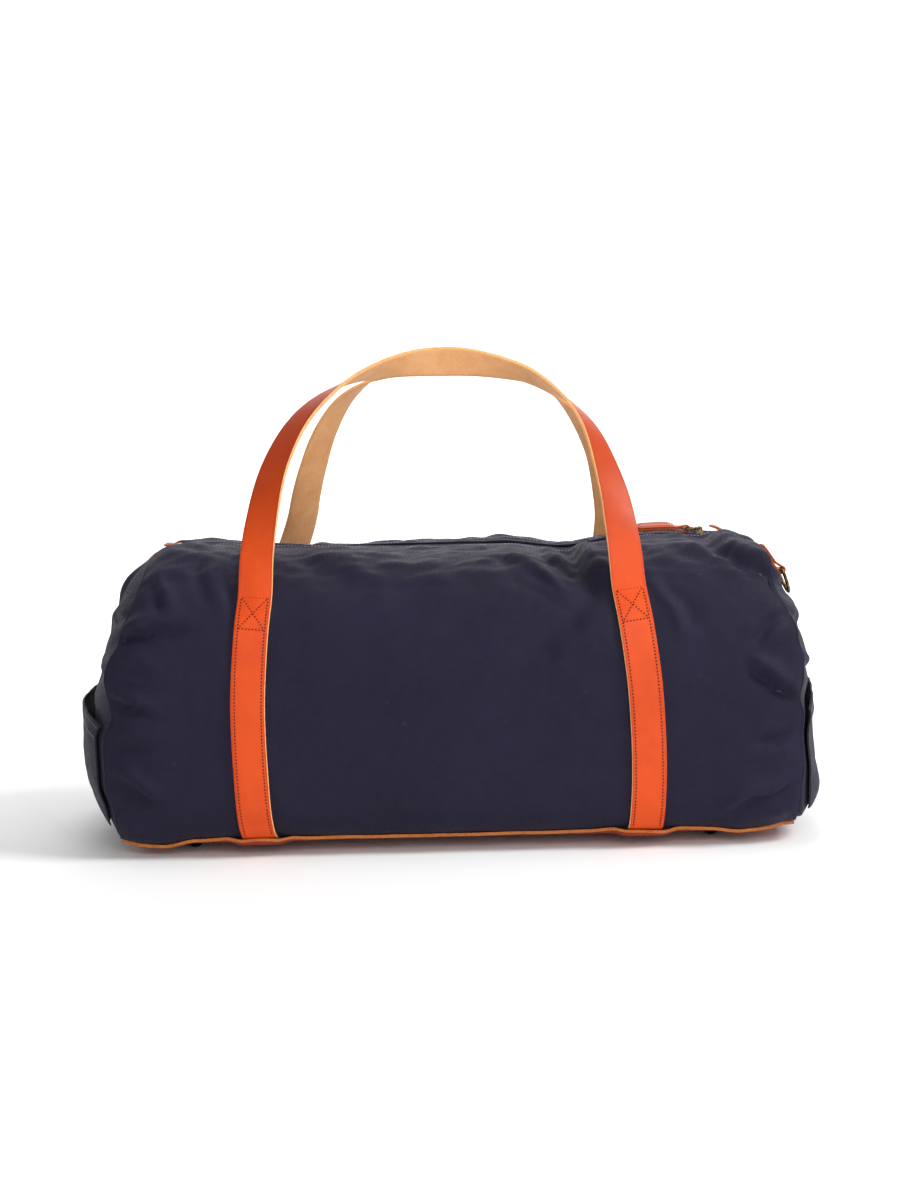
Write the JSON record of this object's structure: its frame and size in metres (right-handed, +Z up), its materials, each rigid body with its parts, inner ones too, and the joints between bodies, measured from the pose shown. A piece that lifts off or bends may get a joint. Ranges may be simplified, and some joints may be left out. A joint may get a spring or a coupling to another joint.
{
  "type": "weekender bag",
  "caption": "Barrel travel bag: canvas body with domed ends, leather base, strap handles that fold down, a top zip with a sliding pull, end slip pockets and D-rings.",
  "frame": {"origin": "on the floor under the middle of the bag", "axes": "+X along the bag towards the end where the closed zip's slider is, -Y towards the front panel, +Z up"},
  "size_m": [0.6188, 0.279, 0.4059],
  "materials": {
    "canvas": "navy waxed cotton canvas, matt with a soft sheen",
    "base_leather": "orange-tan smooth leather with a raw cut edge",
    "strap_leather": "orange-tan bridle leather, natural flesh side and raw cut edges",
    "trim_leather": "orange-tan smooth leather",
    "zip_tape": "black herringbone tape",
    "binding": "dark twill bias tape",
    "board": "stiff black board",
    "zip_metal": "antique brass",
    "slider_metal": "antique brass",
    "ring_metal": "antique brass",
    "foot_metal": "dark antique brass"
  },
  "bodies": {
    "root": {"back_left_foot": "foot_metal", "back_left_foot_washer": "foot_metal", "back_left_strap": "strap_leather", "back_panel": "canvas", "back_right_foot": "foot_metal", "back_right_foot_washer": "foot_metal", "back_right_strap": "strap_leather", "base_board": "board", "base_panel": "base_leather", "bottom_panel": "canvas", "front_left_foot": "foot_metal", "front_left_foot_washer": "foot_metal", "front_left_strap": "strap_leather", "front_panel": "canvas", "front_right_foot": "foot_metal", "front_right_foot_washer": "foot_metal", "front_right_strap": "strap_leather", "left_end_panel": "canvas", "left_end_pocket": "canvas", "left_ring_loop": "trim_leather", "left_seam_binding": "binding", "left_zip_end": "zip_tape", "left_zip_stop": "zip_metal", "left_zip_tab": "trim_leather", "right_end_panel": "canvas", "right_end_pocket": "canvas", "right_ring_loop": "trim_leather", "right_seam_binding": "binding", "right_zip_end": "zip_tape", "right_zip_stop": "zip_metal", "right_zip_tab": "trim_leather"},
    "front_mouth": {"front_mouth_panel": "canvas", "front_zip_tape": "zip_tape", "front_zip_teeth": "zip_metal"},
    "back_mouth": {"back_mouth_panel": "canvas", "back_zip_tape": "zip_tape", "back_zip_teeth": "zip_metal"},
    "slider": {"zip_slider": "slider_metal"},
    "puller": {"zip_puller": "slider_metal"},
    "tab": {"pull_tab": "trim_leather"},
    "left_ring": {"left_d_ring": "ring_metal"},
    "right_ring": {"right_d_ring": "ring_metal"},
    "front_handle": {"front_handle": "strap_leather"},
    "back_handle": {"back_handle": "strap_leather"}
  },
  "joints": [
    {"name": "zip_slide", "type": "slide", "parent": "root", "child": "slider", "axis": [-1, 0, 0], "range_m": [0, 0.425]},
    {"name": "puller_hinge", "type": "hinge", "parent": "slider", "child": "puller", "pos_m": [0.219, 0, 0.249], "axis": [0, 1, 0], "range_deg": [0, 120]},
    {"name": "pull_tab_hinge", "type": "hinge", "parent": "puller", "child": "tab", "pos_m": [0.207, 0, 0.249], "axis": [0, 1, 0], "range_deg": [0, 50]},
    {"name": "front_mouth_hinge", "type": "hinge", "parent": "root", "child": "front_mouth", "pos_m": [0, -0.0964, 0.2247], "axis": [1, 0, 0], "range_deg": [0, 45]},
    {"name": "back_mouth_hinge", "type": "hinge", "parent": "root", "child": "back_mouth", "pos_m": [0, 0.0964, 0.2247], "axis": [-1, 0, 0], "range_deg": [0, 45]},
    {"name": "front_handle_hinge", "type": "hinge", "parent": "root", "child": "front_handle", "pos_m": [0, -0.11788, 0.21026], "axis": [1, 0, 0], "range_deg": [-5, 150]},
    {"name": "back_handle_hinge", "type": "hinge", "parent": "root", "child": "back_handle", "pos_m": [0, 0.11788, 0.21026], "axis": [-1, 0, 0], "range_deg": [-5, 150]},
    {"name": "left_ring_hinge", "type": "hinge", "parent": "root", "child": "left_ring", "pos_m": [-0.27828, 0.045, 0.21483], "axis": [0, 1, 0], "range_deg": [0, 120]},
    {"name": "right_ring_hinge", "type": "hinge", "parent": "root", "child": "right_ring", "pos_m": [0.2878, 0, 0.2121], "axis": [0, -1, 0], "range_deg": [0, 120]}
  ],
  "couplings": [
    {"joint": "back_mouth_hinge", "follows": "front_mouth_hinge", "ratio": 1}
  ]
}
